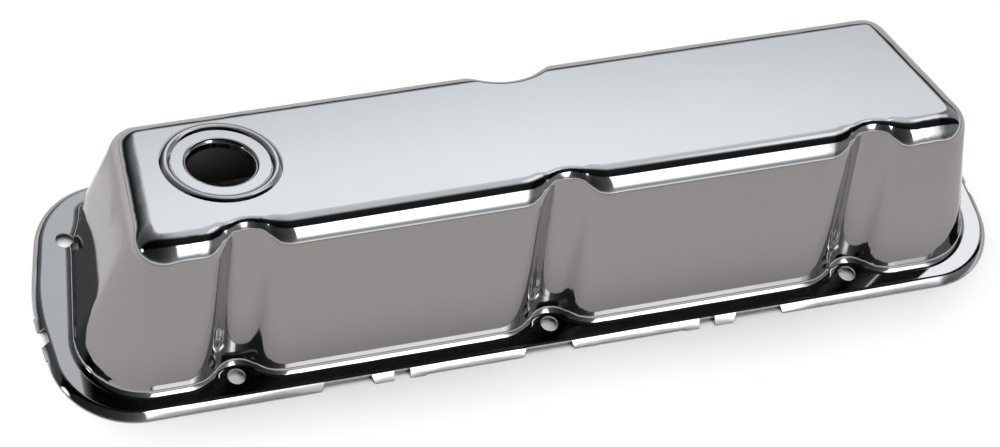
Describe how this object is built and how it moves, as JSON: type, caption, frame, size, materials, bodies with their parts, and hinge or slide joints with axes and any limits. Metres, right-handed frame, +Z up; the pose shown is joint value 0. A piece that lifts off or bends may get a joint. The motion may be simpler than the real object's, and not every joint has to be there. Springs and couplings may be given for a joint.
{
  "type": "engine valve cover",
  "caption": "Deep-drawn chromed valve cover: tilted flat top, scalloped walls over the bolt holes, breather hole in a raised ring, flange with a turned-down lip.",
  "frame": {"origin": "centre of the bounding box's footprint, on the plane that the lip's deepest tabs stand on", "axes": "+X along the engine, away from the breather hole; +Z up, away from the cylinder head; -Y towards the tall exhaust side"},
  "size_m": [0.4682, 0.1306, 0.0863],
  "materials": {
    "chrome": "polished chrome plate over drawn steel, a little wavy"
  },
  "bodies": {
    "root": {"cover_shell": "chrome"}
  },
  "joints": []
}
